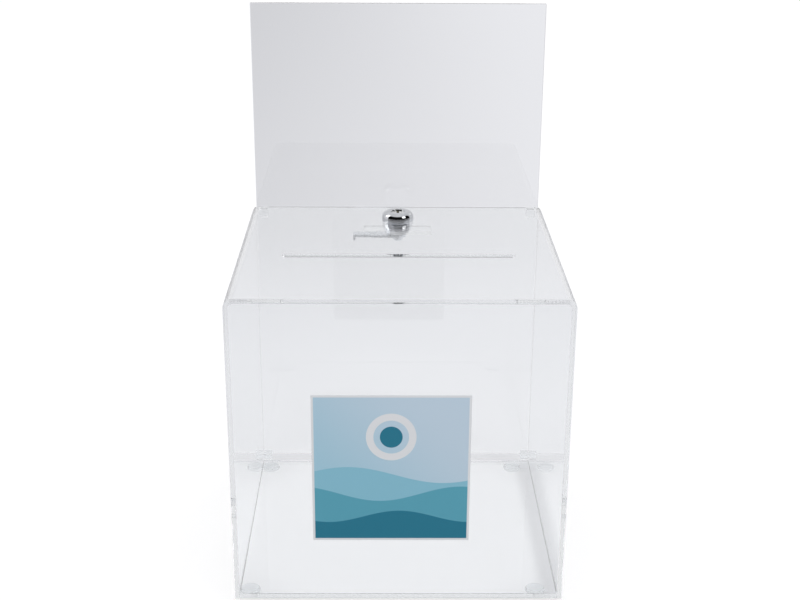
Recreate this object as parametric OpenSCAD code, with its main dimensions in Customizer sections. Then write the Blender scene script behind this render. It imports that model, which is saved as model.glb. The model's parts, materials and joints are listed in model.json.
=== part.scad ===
/* [Box] */
// Outside width of the box, across the two walls
box_w = 210; // [190:1:260]
// Outside depth of the box, front face to rear face
box_d = 210; // [190:1:260]
// Height of the lid face above the table
box_h = 206; // [150:1:260]
// Thickness of every clear sheet
sheet = 3; // [2.5:0.5:3.5]
// Outside radius of the two bends between lid and walls
bend_r = 6; // [5:0.5:9]

/* [Header and door] */
// Height of the header's top edge above the table
header_top = 349; // [300:1:420]
// Air left on each side between the door and the walls
door_gap = 0.3; // [0.2:0.1:0.5]
// Height of the door's pivot above the base plate's top face
pivot_lift = 3.4; // [3.3:0.1:4]
// Diameter of the two hinge pins
pin_d = 3; // [2.5:0.1:3.2]
// Width of each clear hinge block
block_w = 6; // [5:0.5:8]
// Height of each hinge block above the pivot
block_rise = 3.4; // [3:0.1:5]

/* [Ballot slot] */
// Length of the slot
slot_len = 150; // [100:1:170]
// Width of the slot
slot_w = 5; // [4.5:0.5:8]
// Distance of the slot's centre line from the front face
slot_from_front = 88; // [60:1:110]

/* [Cam lock] */
// Distance of the lock's axis from the rear face
lock_from_rear = 38; // [36:0.5:45]
// Diameter of the domed head
head_d = 22; // [18:0.5:24]
// Height of the domed head above the lid
head_h = 6.5; // [5:0.1:8]
// Diameter of the threaded barrel
barrel_d = 12; // [11:0.5:13]
// Length of the barrel below the lid's top face
barrel_len = 12; // [12:0.5:14]
// Distance across the flats of the nut
nut_af = 15; // [14.5:0.5:18]
// Diameter of the turning plug
plug_d = 8.4; // [8:0.1:8.6]
// Thickness of the cam plate
cam_t = 1.5; // [1:0.1:2]

/* [Feet and label] */
// Height of the stick-on feet
foot_h = 3; // [2:0.5:5]
// Diameter of the stick-on feet
foot_d = 13; // [10:0.5:18]
// Width of the label
label_w = 98; // [60:1:120]
// Height of the label
label_h = 99; // [60:1:120]
// How far the label sits left of the middle
label_left = 5; // [0:1:10]

/* [Hidden] */
$fn = 64;

half_w = box_w / 2;
half_d = box_d / 2;
inner_half_w = half_w - sheet;
lid_under = box_h - sheet;
base_top = foot_h + sheet;
bore_gap = 0.05;
fit_gap = 0.2;
past = 1;

// Door, pivot and blocks, seen from the side
door_face_y = half_d - sheet;
door_half_w = inner_half_w - door_gap;
block_r = 3;
pivot_y = door_face_y - block_r;
pivot_z = base_top + pivot_lift;
pin_reach = sheet + door_gap + block_w - 0.6;
base_rear_y = pivot_y - fit_gap;
stop_size = 6;
stop_x = half_w - bend_r - stop_size;

// Lock levels, each measured down from the lid's top face
lock_y = half_d - lock_from_rear;
washer_t = 0.5;
nut_t = 7.5;
flat_cut = 0.7;
barrel_end_z = box_h - barrel_len;
cam_under_z = barrel_end_z - cam_t;
plug_r = plug_d / 2;
plug_head_r = plug_r + 0.6;
plug_head_t = 1.4;
plug_face_z = box_h + head_h - 0.8;
square_side = 5;
keyway_w = 1.6;
keyway_len = 6.6;
keyway_depth = 14;
wafer_t = 0.9;
wafer_pitch = 2.6;
wafer_count = 5;
wafer_top_z = box_h + 2.8;

// Cam and the keeper that its bent tip drops behind
tip_half_w = 4;
tip_reach = lock_from_rear - sheet - 3.9;
tip_drop = 2.4;
tip_inner_r = tip_reach - cam_t;
lip_outer_r = tip_inner_r - 0.4;
lip_inner_r = lip_outer_r - 3.2;
lip_half_w = 8;
shelf_top_z = cam_under_z - tip_drop - 0.4;
shelf_half_w = 24.5;
shelf_depth = 14;

// Feet, as they are stuck on: the left pair closer to its wall
foot_left_x = -(half_w - 9);
foot_right_x = half_w - 16;
foot_y = half_d - 13;

label_t = 0.12;
label_bottom_z = 45.8;

clear_colour = [0.86, 0.93, 0.94, 0.35];
steel_colour = [0.72, 0.73, 0.75];
chrome_colour = [0.82, 0.83, 0.85];
brass_colour = [0.79, 0.66, 0.34];

// A flat shape in X and Z, carried along Y from y0 to y1
module along_y(y0, y1) {
    translate([0, y1, 0]) rotate([90, 0, 0]) linear_extrude(height = y1 - y0) children();
}

// A flat shape in Y and Z, carried along X from x0 to x1
module along_x(x0, x1) {
    translate([x0, 0, 0]) rotate([90, 0, 90]) linear_extrude(height = x1 - x0) children();
}

// An arch in X and Z: straight sides, a flat top and two round shoulders
module arch(half, low, high, r) {
    translate([-half, low]) square([2 * half, high - r - low]);
    translate([-half + r, low]) square([2 * (half - r), high - low]);
    for (side = [-1, 1]) translate([side * (half - r), high - r]) circle(r = r);
}

// A barrel outline with two flats, which stops the lock from turning in its hole
module double_d(r, flat) {
    intersection() {
        circle(r = r);
        square([2 * flat, 2 * r + past], center = true);
    }
}

// A straight slot with round ends
module stadium(length, width) {
    square([length - width, width], center = true);
    for (side = [-1, 1]) translate([side * (length - width) / 2, 0]) circle(d = width);
}

// One sheet bent twice: left wall, lid and right wall
module cover() {
    color(clear_colour) difference() {
        along_y(-half_d, half_d) difference() {
            arch(half_w, foot_h, box_h, bend_r);
            arch(inner_half_w, foot_h - past, lid_under, bend_r - sheet);
        }
        translate([0, -half_d + slot_from_front, lid_under - past])
            linear_extrude(height = sheet + 2 * past) stadium(slot_len, slot_w);
        translate([0, lock_y, lid_under - past])
            linear_extrude(height = sheet + 2 * past)
                double_d(barrel_d / 2 + bore_gap, barrel_d / 2 - flat_cut + bore_gap);
        // The rear edge of the lid is routed back so that the door can lean out
        translate([-inner_half_w, door_face_y - fit_gap, lid_under - bend_r])
            cube([2 * inner_half_w, sheet + fit_gap + past, sheet + bend_r + past]);
        for (side = [-1, 1])
            translate([side * (half_w - sheet / 2), pivot_y, pivot_z])
                rotate([0, 90, 0]) cylinder(d = pin_d, h = sheet + 2 * past, center = true);
    }
}

// The front sheet stands between the walls and fills the arch
module front_panel() {
    color(clear_colour) along_y(-half_d, -half_d + sheet)
        arch(inner_half_w, foot_h, lid_under, bend_r - sheet);
}

// The base stops just short of the door's swing
module base_plate() {
    color(clear_colour) translate([-inner_half_w, -half_d + sheet, foot_h])
        cube([2 * inner_half_w, base_rear_y + half_d - sheet, sheet]);
}

// One tall sheet: the door below, the header for a notice above
module rear_door() {
    color(clear_colour) translate([-door_half_w, door_face_y, pivot_z])
        cube([2 * door_half_w, sheet, header_top - pivot_z]);
}

// A clear block on the door's foot, rounded about the pin so that it clears the base
module hinge_block(side) {
    inner_x = door_half_w - block_w;
    color(clear_colour) mirror([side < 0 ? 1 : 0, 0, 0]) difference() {
        along_x(inner_x, door_half_w) {
            translate([pivot_y, pivot_z]) circle(r = block_r);
            translate([pivot_y - block_r, pivot_z]) square([2 * block_r, block_rise]);
        }
        translate([inner_x - past, pivot_y, pivot_z]) rotate([0, 90, 0])
            cylinder(r = pin_d / 2 + bore_gap, h = block_w + 2 * past);
    }
}

// A clear rod through the wall, flush outside, in which the block turns
module hinge_pin(side) {
    color(clear_colour) mirror([side < 0 ? 1 : 0, 0, 0])
        translate([half_w - pin_reach, pivot_y, pivot_z]) rotate([0, 90, 0])
            cylinder(d = pin_d, h = pin_reach);
}

// The door closes against these two blocks under the lid
module stop_block(side) {
    color(clear_colour) mirror([side < 0 ? 1 : 0, 0, 0])
        translate([stop_x, door_face_y - fit_gap - stop_size, lid_under - stop_size])
            cube(stop_size);
}

// A shelf bonded to the door, on which the lip stands
module cam_keeper() {
    color(clear_colour) translate([-shelf_half_w, door_face_y - shelf_depth, shelf_top_z - sheet])
        cube([2 * shelf_half_w, shelf_depth, sheet]);
}

// A curved lip on the shelf, struck from the lock's axis, which the cam's bent tip drops behind
module keeper_lip() {
    color(clear_colour) translate([0, lock_y, shelf_top_z]) linear_extrude(height = tip_drop)
        intersection() {
            difference() {
                circle(r = lip_outer_r, $fn = 96);
                circle(r = lip_inner_r, $fn = 96);
            }
            translate([-lip_half_w, 0]) square([2 * lip_half_w, lip_outer_r]);
        }
}

// The head's outline: a short rim, a full shoulder and a nearly flat crown
function head_outline(steps) = [for (i = [0 : steps])
    let (a = 90 * i / steps)
    [plug_head_r + 1 + (head_d / 2 - plug_head_r - 1) * pow(cos(a), 0.55),
        1 + (head_h - 1) * pow(sin(a), 0.8)]];

// Domed head and threaded barrel in one piece, with the bore for the plug
module lock_housing() {
    bore_r = plug_r + bore_gap;
    color(chrome_colour) translate([0, lock_y, box_h]) difference() {
        union() {
            rotate_extrude() polygon(concat([[0, 0], [head_d / 2, 0]], head_outline(10), [[0, head_h]]));
            translate([0, 0, -barrel_len]) linear_extrude(height = barrel_len + past)
                double_d(barrel_d / 2, barrel_d / 2 - flat_cut);
        }
        translate([0, 0, -barrel_len - past]) cylinder(r = bore_r, h = barrel_len + head_h + 2 * past);
        translate([0, 0, plug_face_z - box_h - plug_head_t])
            cylinder(r = plug_head_r + bore_gap, h = head_h);
    }
}

// A thin washer between the lid and the nut
module lock_washer() {
    color(steel_colour) translate([0, lock_y, lid_under - washer_t]) difference() {
        cylinder(d = nut_af + 1, h = washer_t);
        translate([0, 0, -past]) cylinder(d = barrel_d + 2 * bore_gap, h = washer_t + 2 * past);
    }
}

// A deep hexagonal nut with its corners turned off at both ends
module lock_nut() {
    corner_r = nut_af / 2 / cos(30);
    turned = corner_r - nut_af / 2;
    color(chrome_colour) translate([0, lock_y, lid_under - washer_t - nut_t]) difference() {
        intersection() {
            rotate(15) cylinder(r = corner_r, h = nut_t, $fn = 6);
            rotate_extrude() polygon([[0, 0], [nut_af / 2, 0], [corner_r, turned],
                [corner_r, nut_t - turned], [nut_af / 2, nut_t], [0, nut_t]]);
        }
        translate([0, 0, -past]) cylinder(d = barrel_d + 2 * bore_gap, h = nut_t + 2 * past);
    }
}

// The turning plug: head, keyway, slots for the wafers and a square end for the cam
module lock_plug() {
    square_len = cam_t - fit_gap;
    color(steel_colour) translate([0, lock_y, 0]) difference() {
        union() {
            translate([0, 0, barrel_end_z]) cylinder(r = plug_r, h = plug_face_z - barrel_end_z);
            translate([0, 0, plug_face_z - plug_head_t + bore_gap])
                cylinder(r = plug_head_r, h = plug_head_t - bore_gap);
            translate([-square_side / 2, -square_side / 2, barrel_end_z - square_len])
                cube([square_side, square_side, square_len + past]);
        }
        translate([-keyway_w / 2, -keyway_len / 2, plug_face_z - keyway_depth])
            cube([keyway_w, keyway_len, keyway_depth + past]);
        for (i = [0 : wafer_count - 1])
            translate([0, 0, wafer_top_z - i * wafer_pitch])
                cube([3.2, 2 * plug_r + past, wafer_t + 0.1], center = true);
        translate([0, 0, barrel_end_z - square_len - past])
            cylinder(d = 3, h = square_len + past + 4);
    }
}

// Five wafers, each with the window that the key runs through, drawn as the key holds them
module wafer_tumblers() {
    color(brass_colour) translate([0, lock_y, 0])
        for (i = [0 : wafer_count - 1])
            translate([0, 0, wafer_top_z - i * wafer_pitch - wafer_t / 2])
                linear_extrude(height = wafer_t) difference() {
                    intersection() {
                        square([3, 2 * plug_r], center = true);
                        circle(r = plug_r - bore_gap);
                    }
                    square([1.7, 4.2], center = true);
                }
}

// The cam, turned to the left with the door free; its tip is bent down
module lock_cam() {
    root_r = 6;
    color(steel_colour) translate([0, lock_y, cam_under_z]) rotate(90) {
        linear_extrude(height = cam_t) difference() {
            union() {
                circle(r = root_r);
                polygon([[-root_r, 0], [root_r, 0], [tip_half_w, tip_inner_r],
                    [tip_half_w, tip_reach], [-tip_half_w, tip_reach], [-tip_half_w, tip_inner_r]]);
            }
            square(square_side + 0.1, center = true);
        }
        translate([-tip_half_w, tip_inner_r, -tip_drop])
            cube([2 * tip_half_w, cam_t, tip_drop + cam_t / 2]);
    }
}

// A plain washer under the screw's head
module cam_washer() {
    color(steel_colour) translate([0, lock_y, cam_under_z - 0.6]) difference() {
        cylinder(d = 9, h = 0.6);
        translate([0, 0, -past]) cylinder(d = 3.2, h = 0.6 + 2 * past);
    }
}

// A pan-head screw with a cross recess, run up into the plug
module cam_screw() {
    head_under = cam_under_z - 0.6;
    screw_head_t = 2.6;
    color(steel_colour) translate([0, lock_y, head_under]) difference() {
        union() {
            cylinder(d = 3, h = cam_t + 0.6 + 3.4);
            translate([0, 0, -screw_head_t]) rotate_extrude()
                polygon([[0, 0], [2.4, 0], [3, 0.4], [3.35, 1.1], [3.35, screw_head_t], [0, screw_head_t]]);
        }
        for (turn = [0, 90]) rotate(turn)
            translate([-2, -0.4, -screw_head_t - past]) cube([4, 0.8, 1.2 + past]);
    }
}

// A clear stick-on foot: flat below, round at its edge
module foot(x, y) {
    color(clear_colour) translate([x, y, 0]) rotate_extrude()
        polygon(concat([[0, 0]], [for (a = [-90 : 15 : 0]) [foot_d / 2 - foot_h / 2 * (1 - cos(a)),
            foot_h / 2 * (1 + sin(a))]], [[foot_d / 2, foot_h], [0, foot_h]]));
}

// A thin film label on the outside of the front sheet
module label_sheet() {
    color([0.74, 0.87, 0.92])
        translate([-label_left - label_w / 2, -half_d - label_t, label_bottom_z])
            cube([label_w, label_t, label_h]);
}

cover();
front_panel();
base_plate();
rear_door();
hinge_block(-1);  // hinge_block_left
hinge_block(1);  // hinge_block_right
hinge_pin(-1);  // hinge_pin_left
hinge_pin(1);  // hinge_pin_right
stop_block(-1);  // stop_block_left
stop_block(1);  // stop_block_right
cam_keeper();
keeper_lip();
lock_housing();
lock_washer();
lock_nut();
lock_plug();
wafer_tumblers();
lock_cam();
cam_washer();
cam_screw();
foot(foot_left_x, -foot_y);  // foot_front_left
foot(foot_right_x, -foot_y);  // foot_front_right
foot(foot_left_x, foot_y);  // foot_rear_left
foot(foot_right_x, foot_y);  // foot_rear_right
label_sheet();
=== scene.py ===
# %% [markdown]
# A clear ballot box. Bent and cut acrylic sheet, one chrome cam lock and one printed film label
# make the whole object, so nearly all of its look is how light crosses clear sheet: thin
# faces hardly show, while every polished edge gathers light and draws a line. The lesson
# therefore builds true sheets with air between them, and lets the renderer bend the light.

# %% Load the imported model, which fixes every size and place
import json
import math

import bmesh
import bpy
import numpy as np
from mathutils import Matrix, Vector


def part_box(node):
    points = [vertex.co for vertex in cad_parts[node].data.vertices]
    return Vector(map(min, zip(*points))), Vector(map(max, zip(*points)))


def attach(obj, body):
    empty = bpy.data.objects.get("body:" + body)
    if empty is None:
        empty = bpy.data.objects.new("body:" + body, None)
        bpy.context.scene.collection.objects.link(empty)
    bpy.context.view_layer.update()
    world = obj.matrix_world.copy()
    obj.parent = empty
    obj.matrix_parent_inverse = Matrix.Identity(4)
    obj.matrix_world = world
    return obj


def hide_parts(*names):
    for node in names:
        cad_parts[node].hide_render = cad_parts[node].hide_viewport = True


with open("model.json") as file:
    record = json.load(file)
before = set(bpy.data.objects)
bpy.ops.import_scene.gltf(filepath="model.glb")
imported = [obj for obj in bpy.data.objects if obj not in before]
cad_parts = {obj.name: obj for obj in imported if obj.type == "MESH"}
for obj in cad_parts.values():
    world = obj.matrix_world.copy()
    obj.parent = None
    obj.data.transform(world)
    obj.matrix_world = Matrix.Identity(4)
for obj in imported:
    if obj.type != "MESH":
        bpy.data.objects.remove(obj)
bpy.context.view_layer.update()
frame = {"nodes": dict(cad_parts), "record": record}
bodies = frame["record"]["behaviour"]["bodies"]
body_of_node = {node: body for body, nodes in bodies.items() for node in nodes}
MM = 0.001
print("nodes loaded:", len(frame["nodes"]))

# %% [markdown]
# The camera comes first, so that every later step can be compared with the photograph. It
# stands 0.8 m in front of the box, a little above the header, and looks down by 22.5 degrees. The
# picture was cropped after it was taken, and a vertical lens shift repeats that without a turn.

# %% Camera: its place in metres, its turns in radians
camera_place = Vector((-0.009661, -0.906266, 0.479124))
camera_yaw, camera_pitch, camera_roll = 0.0123, 0.3927, 0.006
view_forward = Vector((math.sin(camera_yaw) * math.cos(camera_pitch),
                       math.cos(camera_yaw) * math.cos(camera_pitch), -math.sin(camera_pitch)))
level_right = view_forward.cross(Vector((0, 0, 1))).normalized()
level_up = level_right.cross(view_forward)
camera_right = level_right * math.cos(camera_roll) + level_up * math.sin(camera_roll)
camera_up = camera_right.cross(view_forward)
camera_data = bpy.data.cameras.new("front_camera")
camera_data.lens = 64.544
camera_data.sensor_width = 36
camera_data.shift_y = 0.1146
camera = bpy.data.objects.new("front_camera", camera_data)
camera_turn = Matrix((camera_right, camera_up, -view_forward)).transposed()
camera.matrix_world = Matrix.Translation(camera_place) @ camera_turn.to_4x4()
bpy.context.scene.collection.objects.link(camera)
bpy.context.scene.camera = camera
print("camera height above the table, m:", round(camera_place.z, 3))

# %% [markdown]
# Materials are small programs. A Wire is one value in a node tree, and adding or multiplying
# wires adds Math nodes, so a pattern reads like a formula. A Finish holds one material. Its one
# method makes any other node from its type, its settings and what goes into its sockets.

# %% Shader maths


class Wire:
    """One value of a node tree. The usual signs add Math nodes."""

    def __init__(self, finish, socket):
        self.finish = finish
        self.socket = socket

    def math(self, operation, *others):
        """Any Math node, with this wire as its first input."""
        inputs = {0: self, **{index + 1: other for index, other in enumerate(others)}}
        return self.finish.node("ShaderNodeMath", {"operation": operation}, inputs)

    def __add__(self, other):
        return self.math("ADD", other)

    def __mul__(self, other):
        return self.math("MULTIPLY", other)

    def __sub__(self, other):
        return self.math("SUBTRACT", other)

    def __rsub__(self, other):
        return self.finish.node("ShaderNodeMath", {"operation": "SUBTRACT"}, {0: other, 1: self})

    __radd__ = __add__
    __rmul__ = __mul__


class Finish:
    """One material, or the world's shader."""

    def __init__(self, name, holder=None):
        self.material = holder or bpy.data.materials.new(name)
        self.material.use_nodes = True
        self.tree = self.material.node_tree
        self.tree.nodes.clear()

    def node(self, kind, settings=None, inputs=None, out=0):
        """Makes a node: settings first, then each input gets a number, a colour or a Wire."""
        made = self.tree.nodes.new(kind)
        for name, value in (settings or {}).items():
            setattr(made, name, value)
        for name, value in (inputs or {}).items():
            if isinstance(value, Wire):
                self.tree.links.new(value.socket, made.inputs[name])
            else:
                made.inputs[name].default_value = value
        return Wire(self, made.outputs[out])

    def mix(self, mask, low, high):
        """Blends two colours: low where the mask is 0, high where it is 1."""
        return self.node("ShaderNodeMix", {"data_type": "RGBA"}, {0: mask, 6: low, 7: high}, out=2)

    def step(self, value, low, high):
        """A soft step: 0 below low, 1 above high."""
        settings = {"interpolation_type": "SMOOTHSTEP"}
        inputs = {"Value": value, "From Min": low, "From Max": high}
        return self.node("ShaderNodeMapRange", settings, inputs)

    def bump(self, height, distance, strength):
        """A normal that tilts as the height rises and falls."""
        inputs = {"Height": height, "Distance": distance, "Strength": strength}
        return self.node("ShaderNodeBump", None, inputs)

    def close(self, shader, kind="ShaderNodeOutputMaterial", volume=None):
        """Joins a shader to the output node and hands the material back."""
        made = self.tree.nodes.new(kind)
        self.tree.links.new(shader.socket, made.inputs["Surface"])
        if volume:
            self.tree.links.new(volume.socket, made.inputs["Volume"])
        return self.material

    def principled(self, volume=None, **inputs):
        """Ends the material with a Principled shader; underscores in names stand for spaces."""
        named = {name.replace("_", " "): value for name, value in inputs.items()}
        return self.close(self.node("ShaderNodeBsdfPrincipled", None, named), volume=volume)


def rgb(red, green, blue):
    """A colour that is wholly opaque."""
    return (red, green, blue, 1.0)


print("shader maths ready")

# %% [markdown]
# The studio is a pale paper floor under an even dome of light. The picture's own ground is pure
# white, while clear sheet in it shows a grey, a little darker on the left. So the dome and the floor
# are white to the camera alone. To a ray that has crossed a sheet the floor glows with painted light
# and shade: painted side light that is darker on the left, a painted pool of light under the box,
# painted contact shadows and a painted dim side towards the camera. To a mirror it is one middle
# grey. A matt layer below that glow takes the real light, so the object still casts its shade.

# %% World and floor


def light_path(finish, kind):
    """1 for a ray of the named kind, such as Is Camera Ray, and 0 for any other."""
    return finish.node("ShaderNodeLightPath", out=kind)


world = bpy.data.worlds.new("studio")
bpy.context.scene.world = world
dome = Finish("dome", world)
seen_directly = light_path(dome, "Is Camera Ray")
dome_colour = dome.mix(seen_directly, rgb(0.86, 0.86, 0.875), rgb(1, 1, 1))
dome.close(dome.node("ShaderNodeBackground", None, {"Color": dome_colour}), "ShaderNodeOutputWorld")

FLOOR_HALF = 9.0
FLOOR_DROP = 0.0002
floor_mesh = bpy.data.meshes.new("floor")
floor_corners = FLOOR_HALF * np.array([(-1, -1, 0), (1, -1, 0), (1, 1, 0), (-1, 1, 0)], dtype=float)
floor_mesh.from_pydata(floor_corners.tolist(), [], [(0, 1, 2, 3)])
floor = bpy.data.objects.new("floor", floor_mesh)
floor.location.z = -FLOOR_DROP
bpy.context.scene.collection.objects.link(floor)

box_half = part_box("cover")[1][0]
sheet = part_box("rear_door")[1][1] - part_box("rear_door")[0][1]
# Painted side light on the paper seen through a sheet: shaded on the left, lit on the right
SHADED_LEFT_PAPER, LIT_RIGHT_PAPER = rgb(0.40, 0.40, 0.418), rgb(0.60, 0.60, 0.622)
# A painted pool of light on the paper, near and under the box
NEAR_LIGHT_POOL, UNDER_LIGHT_POOL = rgb(0.60, 0.60, 0.615), rgb(0.80, 0.80, 0.815)
# Painted shade: a near-black paper on the camera's side, and the grey of a painted contact shadow
DIM_PAPER, CONTACT_SHADE = rgb(0.03, 0.03, 0.032), rgb(0.42, 0.42, 0.44)
MIRRORED_PAPER, WHITE_PAPER = rgb(0.54, 0.54, 0.555), rgb(0.76, 0.76, 0.76)
# Where each grey gives way to the next, in metres from the middle of the box
SPREAD = 0.42
NEAR_END, FAR_START = 0.20, 0.80
UNDER_END, NEAR_START = 0.10, 0.17
DIM_END, LIT_START = -0.60, -0.28
CONTACT_STRENGTH = 0.55


def band_mask(finish, place, line, half_width, end):
    """1 within half_width of the line, falling smoothly to 0 at end."""
    return 1 - finish.step((place - line).math("ABSOLUTE"), half_width, end)


def paper_through_sheet(paper):
    """Painted light and shade that a ray meets on the paper once it has crossed a sheet, from the far
    paper to the nearest.
    """
    place = paper.node("ShaderNodeTexCoord", out="Object")
    across = paper.node("ShaderNodeSeparateXYZ", None, {0: place}, out="X")
    back = paper.node("ShaderNodeSeparateXYZ", None, {0: place}, out="Y")
    away = paper.node("ShaderNodeVectorMath", {"operation": "LENGTH"}, {0: place}, out="Value")
    # Painted side light, darker on the left, then a painted pool of light near and under the box
    grey = paper.mix(paper.step(across, -SPREAD, SPREAD), SHADED_LEFT_PAPER, LIT_RIGHT_PAPER)
    grey = paper.mix(paper.step(away, NEAR_END, FAR_START), NEAR_LIGHT_POOL, grey)
    grey = paper.mix(paper.step(away, UNDER_END, NEAR_START), UNDER_LIGHT_POOL, grey)
    # Painted contact shadow: a little darker where the right wall and the door come down to the paper
    box_end = (box_half - 5 * MM, box_half + 7 * MM)
    under_wall = band_mask(paper, across, box_half - sheet, 4 * MM, 14 * MM)
    under_door = band_mask(paper, back, box_half + 9 * MM, 8 * MM, 13 * MM)
    beside_wall = band_mask(paper, back, 0, *box_end)
    beside_door = band_mask(paper, across, 0, *box_end)
    painted_contact_shadow = (under_wall * beside_wall).math("MAXIMUM", under_door * beside_door)
    grey = paper.mix(painted_contact_shadow * CONTACT_STRENGTH, grey, CONTACT_SHADE)
    # The camera's side of the paper is painted dim, and the slot's cut edge throws it back as a fine
    # line
    return paper.mix(paper.step(back, DIM_END, LIT_START), DIM_PAPER, grey)


paper = Finish("pale_paper")
past_sheet = light_path(paper, "Is Transmission Ray")
glow_colour = paper.mix(past_sheet, MIRRORED_PAPER, paper_through_sheet(paper))
glow_colour = paper.mix(light_path(paper, "Is Camera Ray"), glow_colour, WHITE_PAPER)
glow_strength = 1 - light_path(paper, "Is Diffuse Ray")
glow = paper.node("ShaderNodeEmission", None, {"Color": glow_colour, "Strength": glow_strength})
matt = paper.node("ShaderNodeBsdfDiffuse", None, {"Color": rgb(0.30, 0.30, 0.305)})
floor_mesh.materials.append(paper.close(paper.node("ShaderNodeAddShader", None, {0: glow, 1: matt})))
print("sheet, mm:", round(sheet / MM, 2))

# %% [markdown]
# Two soft boxes put the highlights on the chrome. Chrome also needs something dark to show, or it
# looks like white plastic, so a bent black wall stands behind the camera, and only glossy rays see
# it. Light that is shut up in a sheet bounces many times before it leaves by an edge, so the
# renderer is allowed long paths, or the edges would turn black.

# %% Lamps, dark wall and light paths


def soft_box(name, place, aim, size, power):
    """An oblong lamp at place that points at aim; its power is in watts."""
    lamp = bpy.data.lights.new(name, "AREA")
    lamp.shape = "RECTANGLE"
    lamp.size, lamp.size_y = size
    lamp.energy = power
    holder = bpy.data.objects.new(name, lamp)
    holder.location = place
    holder.rotation_euler = (Vector(aim) - Vector(place)).to_track_quat("-Z", "Y").to_euler()
    bpy.context.scene.collection.objects.link(holder)


BOX_MIDDLE = (0, 0, 0.15)
soft_box("right_soft_box", (0.80, -0.62, 0.80), BOX_MIDDLE, (0.50, 0.50), 3)
soft_box("left_soft_box", (-1.1, 0.1, 0.9), BOX_MIDDLE, (0.6, 0.8), 3)

WALL_AWAY, WALL_LOW, WALL_HIGH = 1.25, 0.21, 1.5
WALL_COLUMNS = 27
wall_turn = np.radians(np.linspace(-78, 100, WALL_COLUMNS))
wall_foot = np.stack([WALL_AWAY * np.sin(wall_turn), -WALL_AWAY * np.cos(wall_turn)], axis=-1)
wall_points = [(x, y, z) for z in (WALL_LOW, WALL_HIGH) for x, y in wall_foot.tolist()]
wall_faces = [(i, i + 1, i + 1 + WALL_COLUMNS, i + WALL_COLUMNS) for i in range(WALL_COLUMNS - 1)]
wall_mesh = bpy.data.meshes.new("lens_card")
wall_mesh.from_pydata(wall_points, [], wall_faces)
wall = bpy.data.objects.new("lens_card", wall_mesh)
bpy.context.scene.collection.objects.link(wall)
black = Finish("black_card")
wall_paint = black.node("ShaderNodeBsdfDiffuse", None, {"Color": rgb(0.01, 0.01, 0.01)})
wall_mesh.materials.append(black.close(wall_paint))
wall.visible_camera = False
wall.visible_diffuse = False
wall.visible_shadow = False
wall.visible_transmission = False

cycles = bpy.context.scene.cycles
LONGEST_PATH = 64
cycles.max_bounces = LONGEST_PATH
cycles.transmission_bounces = LONGEST_PATH
cycles.glossy_bounces = LONGEST_PATH
cycles.diffuse_bounces = 3
cycles.transparent_max_bounces = 16
cycles.caustics_refractive = True
cycles.caustics_reflective = True
bpy.context.scene.view_settings.view_transform = "Standard"
print("light paths, most bounces:", cycles.max_bounces)

# %% [markdown]
# Cast acrylic is clear with a trace of haze and long shallow waves from its mould. A glass shader
# with the real index does the rest, and a faint absorption makes light that has gone far inside a
# sheet a little greyer. Inputs that are the same all over, such as the index, stay plain numbers.

# %% Clear finishes
ACRYLIC_IOR = 1.49
DEPTH_COLOUR = rgb(0.20, 0.26, 0.26)
DEPTH_DENSITY = 0.5


def clear_plastic(name, tint, haze, wave_height):
    """Slow noise moves the colour and a shallow wave; fine noise times haze is the roughness."""
    finish = Finish(name)
    place = finish.node("ShaderNodeTexCoord", out="Object")
    slow = finish.node("ShaderNodeTexNoise", None, {"Vector": place, "Scale": 7.0, "Detail": 1.0})
    fine = finish.node("ShaderNodeTexNoise", None, {"Vector": place, "Scale": 90.0, "Detail": 3.0})
    paler = rgb(*[min(1, 1.015 * value) for value in tint])
    absorption = {"Color": DEPTH_COLOUR, "Density": DEPTH_DENSITY}
    depth = finish.node("ShaderNodeVolumeAbsorption", None, absorption)
    return finish.principled(
        volume=depth, Base_Color=finish.mix(slow, rgb(*tint), paler), Roughness=fine * haze,
        Normal=finish.bump(slow, wave_height, 0.4), IOR=ACRYLIC_IOR, Transmission_Weight=1.0)


sheet_finish = clear_plastic("clear_sheet", (0.965, 0.972, 0.975), haze=0.012, wave_height=0.02 * MM)
foot_finish = clear_plastic("clear_foot_gel", (0.90, 0.92, 0.93), haze=0.25, wave_height=0.2 * MM)
print("clear finishes:", sheet_finish.name, foot_finish.name)

# %% [markdown]
# Metal needs almost no colour of its own: it shows the room. Chrome is nearly a mirror with a
# breath of dullness. The plug is drawn brass under satin nickel, the cam and screw are zinc plated
# with a fine grain, and the wafers are stamped brass.

# %% Metal finishes


def plated(name, dark, light, smooth, rough, grain):
    """Noise of the given grain moves colour and roughness between two ends, and lifts a fine bump."""
    finish = Finish(name)
    place = finish.node("ShaderNodeTexCoord", out="Object")
    cloud = finish.node("ShaderNodeTexNoise", None, {"Vector": place, "Scale": grain, "Detail": 4.0})
    mask = finish.step(cloud, 0.3, 0.7)
    return finish.principled(
        Base_Color=finish.mix(mask, rgb(*dark), rgb(*light)), Metallic=1.0,
        Roughness=mask * (rough - smooth) + smooth, Normal=finish.bump(cloud, 0.01 * MM, 0.25))


chrome_finish = plated("chrome", (0.52, 0.53, 0.55), (0.66, 0.67, 0.69), 0.03, 0.07, 160.0)
nickel_finish = plated("satin_nickel", (0.66, 0.66, 0.64), (0.80, 0.80, 0.78), 0.16, 0.28, 700.0)
zinc_finish = plated("bright_zinc", (0.60, 0.63, 0.67), (0.78, 0.80, 0.84), 0.18, 0.34, 350.0)
brass_finish = plated("stamped_brass", (0.62, 0.48, 0.20), (0.80, 0.66, 0.34), 0.2, 0.35, 500.0)
metal_finishes = {"chrome_plate": chrome_finish, "nickel_plug": nickel_finish,
                  "zinc_steel": zinc_finish, "wafer_brass": brass_finish}
print("metal finishes:", len(metal_finishes))

# %% [markdown]
# The printed film has a plain design: a pale blue ground that lightens to the upper right, three
# rolling bands from blue to deep teal at the foot, and a white ring round a teal disc, inside a thin
# white border. Its back is white. Each band is a sine wave on the film's own width and height, so
# no picture is needed.

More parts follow.
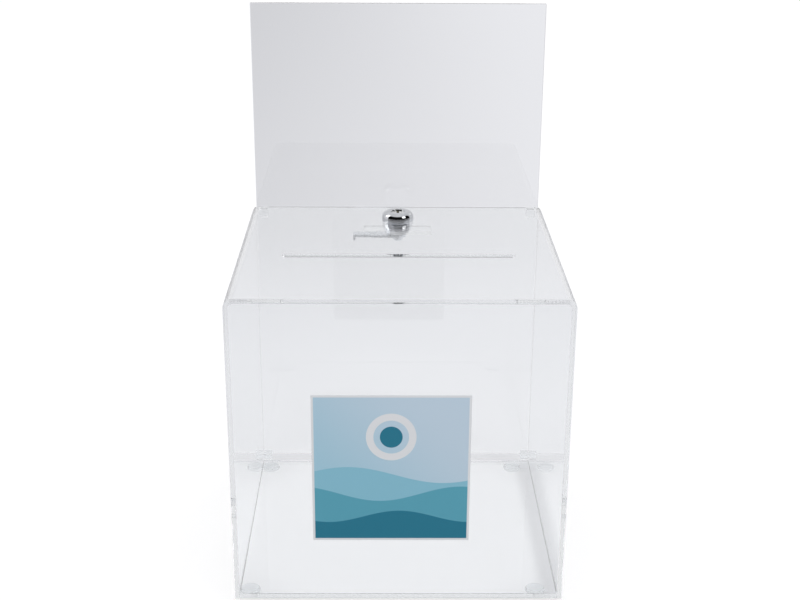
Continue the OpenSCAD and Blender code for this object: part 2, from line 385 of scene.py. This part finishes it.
# %% Label finish
label_low, label_high = (Vector(corner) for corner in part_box("label_sheet"))
label_width = label_high.x - label_low.x
label_height = label_high.z - label_low.z
TEAL = rgb(0.003, 0.185, 0.285)
MID_TEAL = rgb(0.10, 0.40, 0.52)
PALE_BLUE = rgb(0.40, 0.66, 0.80)
ICE = rgb(0.60, 0.74, 0.86)
FILM_WHITE = rgb(0.86, 0.88, 0.90)
EDGE = 0.003  # the softness of a printed edge, as a share of the film's side
# Each band: height, swing and turns of its crest, where the wave starts, and its ink
BANDS = ((0.46, 0.055, 5.2, 0.4, rgb(0.27, 0.58, 0.72)),
         (0.33, 0.050, 6.1, 2.1, MID_TEAL),
         (0.17, 0.040, 7.0, 4.0, TEAL))
RING_HEIGHT, RING_RADIUS, RING_HALF_WIDTH, DISC_RADIUS = 0.72, 0.135, 0.022, 0.07
BORDER_AT = 0.484


def printed_film():
    """Bands are v < base + swing * sin(turns * u + start), with u and v from 0 to 1 on the film."""
    finish = Finish("printed_film")
    place = finish.node("ShaderNodeTexCoord", out="Object")
    split = [finish.node("ShaderNodeSeparateXYZ", None, {0: place}, out=axis) for axis in ("X", "Z")]
    u = (split[0] - label_low.x) * (1 / label_width)
    v = (split[1] - label_low.z) * (1 / label_height)
    colour = finish.mix(finish.step(u * 0.5 + v * 0.5, 0.15, 0.85), PALE_BLUE, ICE)
    for base, swing, turns, start, ink in BANDS:
        crest = (u * turns + start).math("SINE") * swing + base
        colour = finish.mix(1 - finish.step(v - crest, -EDGE, EDGE), colour, ink)
    away_u, away_v = u - 0.50, v - RING_HEIGHT
    distance = (away_u * away_u + away_v * away_v).math("SQRT")
    ring = band_mask(finish, distance, RING_RADIUS, RING_HALF_WIDTH, RING_HALF_WIDTH + EDGE)
    disc = 1 - finish.step(distance, DISC_RADIUS, DISC_RADIUS + EDGE)
    colour = finish.mix(ring, colour, FILM_WHITE)
    colour = finish.mix(disc, colour, TEAL)
    from_edge = (u - 0.5).math("ABSOLUTE").math("MAXIMUM", (v - 0.5).math("ABSOLUTE"))
    colour = finish.mix(finish.step(from_edge, BORDER_AT, BORDER_AT + EDGE), colour, FILM_WHITE)
    facing = finish.node("ShaderNodeNewGeometry", out="Normal")
    towards_box = finish.node("ShaderNodeSeparateXYZ", None, {0: facing}, out="Y")
    colour = finish.mix(finish.step(towards_box, 0.3, 0.6), colour, FILM_WHITE)
    tooth = finish.node("ShaderNodeTexNoise", None, {"Vector": place, "Scale": 1400.0, "Detail": 2.0})
    return finish.principled(Base_Color=colour, Roughness=tooth * 0.12 + 0.30,
                             Normal=finish.bump(tooth, 0.004 * MM, 0.3))


label_finish = printed_film()
print("label, mm:", round(label_width / MM, 1), "x", round(label_height / MM, 1))

# %% [markdown]
# Sheets that are bonded touch face to face in the model. Light can't tell which of two faces that
# lie in one place it meets first, so each clear piece but the cover is redrawn as a copy that ends a
# few hundredths of a millimetre short of its neighbours. A bevel as wide as a few hairs on every
# edge catches the light that draws the object's outline. The big flat faces keep their own
# direction, because shading that leans towards the bevel would bend what is seen through them.

# %% Clear pieces
JOINT_GAP = 0.04 * MM
POLISH = 0.22 * MM


def place_piece(mesh, name, node, finish):
    """Links a mesh that stands for a node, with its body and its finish."""
    piece = bpy.data.objects.new(name, mesh)
    bpy.context.scene.collection.objects.link(piece)
    mesh.materials.clear()
    mesh.materials.append(finish)
    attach(piece, body_of_node[node])
    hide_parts(node)
    return piece


def polish_edges(piece):
    """A narrow round on every edge; the weighted normals keep the large faces flat."""
    bevel = piece.modifiers.new("polished_edges", "BEVEL")
    bevel.width = POLISH
    bevel.segments = 2
    bevel.limit_method = "ANGLE"
    bevel.angle_limit = math.radians(40)
    bevel.use_clamp_overlap = False
    flatten = piece.modifiers.new("flat_faces_stay_flat", "WEIGHTED_NORMAL")
    flatten.mode = "FACE_AREA"
    flatten.weight = 100
    flatten.keep_sharp = True


def trimmed_copy(node, gap):
    """A merged copy of a node's mesh, drawn in by gap on all sides of its box, as one array sum."""
    mesh = frame["nodes"][node].data.copy()
    merged = bmesh.new()
    merged.from_mesh(mesh)
    bmesh.ops.remove_doubles(merged, verts=merged.verts, dist=1e-6)
    flat = math.radians(0.5)
    bmesh.ops.dissolve_limit(merged, angle_limit=flat, verts=merged.verts, edges=merged.edges)
    merged.to_mesh(mesh)
    merged.free()
    points = np.empty(len(mesh.vertices) * 3)
    mesh.vertices.foreach_get("co", points)
    points = points.reshape(-1, 3)
    low, high = points.min(axis=0), points.max(axis=0)
    middle = (low + high) / 2
    points = middle + (points - middle) * (1 - 2 * gap / (high - low))
    mesh.vertices.foreach_set("co", points.ravel())
    mesh.polygons.foreach_set("use_smooth", [True] * len(mesh.polygons))
    mesh.set_sharp_from_angle(angle=math.radians(30))
    mesh.update()
    return mesh


def nodes_in(slot):
    """The names of the nodes whose record gives them this material slot."""
    return [part["node"] for part in frame["record"]["subparts"] if part["material_slot"] == slot]


clear_nodes = nodes_in("clear_acrylic")
for node in clear_nodes:
    gap = 0 if node == "cover" else JOINT_GAP
    piece = place_piece(trimmed_copy(node, gap), node + "_clear", node, sheet_finish)
    polish_edges(piece)
print("clear pieces:", len(clear_nodes))

# %% [markdown]
# Everything round on this object is a lathe shape: a closed outline of radius and height, turned
# about its axis. The lock's head has a short rim, a full shoulder and a nearly flat crown, and its
# barrel carries a real helical thread, cut away at two flats that keep it from turning.

# %% Lathe


def turned(name, radius, height, centre, angles):
    """Point (i, j) is the centre plus radius[i, j] along angle j, at height[i, j]; both ways close."""
    rows, columns = radius.shape
    x = centre[0] + radius * np.cos(angles)
    y = centre[1] + radius * np.sin(angles)
    points = np.stack([x, y, height], axis=-1).reshape(-1, 3)
    row, column = np.meshgrid(np.arange(rows), np.arange(columns), indexing="ij")
    next_row, next_column = (row + 1) % rows, (column + 1) % columns
    corners = [row * columns + column, row * columns + next_column,
               next_row * columns + next_column, next_row * columns + column]
    faces = np.stack(corners, axis=-1).reshape(-1, 4)
    mesh = bpy.data.meshes.new(name)
    mesh.from_pydata(points.tolist(), [], faces.tolist())
    merged = bmesh.new()
    merged.from_mesh(mesh)
    bmesh.ops.remove_doubles(merged, verts=merged.verts, dist=1e-7)
    bmesh.ops.recalc_face_normals(merged, faces=merged.faces)
    merged.to_mesh(mesh)
    merged.free()
    mesh.polygons.foreach_set("use_smooth", [True] * len(mesh.polygons))
    mesh.set_sharp_from_angle(angle=math.radians(38))
    return mesh


housing_low, housing_high = (Vector(corner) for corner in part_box("lock_housing"))
plug_low, plug_high = (Vector(corner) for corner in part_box("lock_plug"))
lock_centre = ((housing_low.x + housing_high.x) / 2, (housing_low.y + housing_high.y) / 2)
lid_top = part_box("cover")[1][2]
head_radius = (housing_high.x - housing_low.x) / 2
barrel_radius = 6 * MM
neck_radius = 5.2 * MM
bore_radius = 4.25 * MM
recess_radius = 4.85 * MM
crown_radius = 5.8 * MM
rim_height = 1.0 * MM
flat_at = 5.3 * MM
thread_pitch = 1.0 * MM
thread_depth = 0.45 * MM
plug_seat_depth = 1.45 * MM
LID_AIR = 0.03 * MM
THREAD_ROWS = 92


def lock_head_and_barrel():
    """The head is r = crown + span * cos(t)^0.55 and z = rim + rise * sin(t)^0.8; the thread is a
    triangle wave of height / pitch - turn."""
    turn = np.linspace(0, math.pi / 2, 25)
    rise = housing_high.z - lid_top - rim_height
    dome_r = crown_radius + (head_radius - crown_radius) * np.cos(turn) ** 0.55
    dome_z = lid_top + rim_height + rise * np.sin(turn) ** 0.8
    barrel_z = np.linspace(housing_low.z + 0.4 * MM, lid_top - 0.5 * MM, THREAD_ROWS)
    head_foot = lid_top + LID_AIR
    plug_seat = plug_high.z - plug_seat_depth
    outline_r = np.concatenate([
        [bore_radius, barrel_radius - 0.6 * MM], np.full(THREAD_ROWS, barrel_radius),
        [neck_radius, neck_radius, head_radius - 0.4 * MM, head_radius], dome_r,
        [recess_radius + 0.25 * MM, recess_radius, recess_radius, bore_radius]])
    outline_z = np.concatenate([
        [housing_low.z, housing_low.z], barrel_z,
        [lid_top - 0.3 * MM, head_foot, head_foot, lid_top + 0.3 * MM], dome_z,
        [housing_high.z, housing_high.z - 0.25 * MM, plug_seat, plug_seat]])
    angles = np.linspace(0, 2 * math.pi, 96, endpoint=False)
    radius = np.repeat(outline_r[:, None], angles.size, axis=1)
    height = np.repeat(outline_z[:, None], angles.size, axis=1)
    on_barrel = slice(2, 2 + THREAD_ROWS)
    phase = (height[on_barrel] / thread_pitch - angles / (2 * math.pi)) % 1
    radius[on_barrel] -= thread_depth * (1 - np.abs(2 * phase - 1))
    below_head = height < lid_top
    flats = flat_at / np.maximum(np.abs(np.cos(angles)), 1e-6)
    radius = np.where(below_head, np.minimum(radius, flats), radius)
    return turned("lock_housing_chrome", radius, height, lock_centre, angles)


housing = lock_head_and_barrel()
place_piece(housing, "lock_housing_chrome", "lock_housing", chrome_finish)
print("lock head, mm across:", round(2 * head_radius / MM, 1))

# %% [markdown]
# The nut, the washers, the cam, the screw, the plug and its wafers have their true shapes already,
# so they stay as they are and gain a finish.

# %% Metal pieces that stay
for part in frame["record"]["subparts"]:
    if part["material_slot"] in metal_finishes and part["node"] != "lock_housing":
        metal = frame["nodes"][part["node"]]
        metal.data.materials.clear()
        metal.data.materials.append(metal_finishes[part["material_slot"]])
print("metal pieces dressed")

# %% [markdown]
# The feet are soft clear discs. Each is flat where it stands and where it sticks, with a round
# flank, so light bends through it like a small lens.

# %% Feet
AXIS_RADIUS = 0.05 * MM


def foot_outline(low, high):
    """A half circle flank between a flat sole and a flat top, which reach almost to the axis."""
    span = high.z - low.z
    reach = (high.x - low.x) / 2
    flank = np.linspace(-math.pi / 2, math.pi / 2, 13)
    radius = np.concatenate([[AXIS_RADIUS], reach - span / 2 * (1 - np.cos(flank)), [AXIS_RADIUS]])
    height = np.concatenate([[low.z], low.z + span / 2 * (1 + np.sin(flank)), [high.z]])
    return radius, np.minimum(height, high.z - JOINT_GAP / 2)


foot_nodes = nodes_in("clear_foot")
for node in foot_nodes:
    foot_low, foot_high = (Vector(corner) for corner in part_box(node))
    foot_r, foot_z = foot_outline(foot_low, foot_high)
    foot_turns = np.linspace(0, 2 * math.pi, 48, endpoint=False)
    spread = np.ones((1, foot_turns.size))
    foot_centre = ((foot_low.x + foot_high.x) / 2, (foot_low.y + foot_high.y) / 2)
    foot_r, foot_z = foot_r[:, None] * spread, foot_z[:, None] * spread
    foot_mesh = turned(node + "_gel", foot_r, foot_z, foot_centre, foot_turns)
    place_piece(foot_mesh, node + "_gel", node, foot_finish)
print("feet:", len(foot_nodes))

# %% [markdown]
# The label is a film a tenth of a millimetre thick. It is a fine grid, so that it can carry the
# faint swell of a film that was smoothed on by hand, and Solidify gives it its thickness.

# %% Label
FILM_COLUMNS = 33
FILM_SWELL = 0.01 * MM
FILM_THICKNESS = 0.1 * MM


def label_film():
    """y = front + swell * sin(pi u) * sin(pi v): the film stands a hair prouder at its edges."""
    steps = np.linspace(0, 1, FILM_COLUMNS)
    u, v = np.meshgrid(steps, steps, indexing="xy")
    y = label_low.y + FILM_SWELL * np.sin(math.pi * u) * np.sin(math.pi * v)
    points = np.stack([label_low.x + u * label_width, y, label_low.z + v * label_height], axis=-1)
    cells = np.arange(FILM_COLUMNS - 1)
    row, column = np.meshgrid(cells, cells, indexing="ij")
    first = row * FILM_COLUMNS + column
    above = first + FILM_COLUMNS
    faces = np.stack([first, first + 1, above + 1, above], axis=-1).reshape(-1, 4)
    mesh = bpy.data.meshes.new("label_film")
    mesh.from_pydata(points.reshape(-1, 3).tolist(), [], faces.tolist())
    return mesh


label = place_piece(label_film(), "label_film", "label_sheet", label_finish)
thickness = label.modifiers.new("film", "SOLIDIFY")
thickness.thickness = FILM_THICKNESS
thickness.offset = -1
print("label placed")
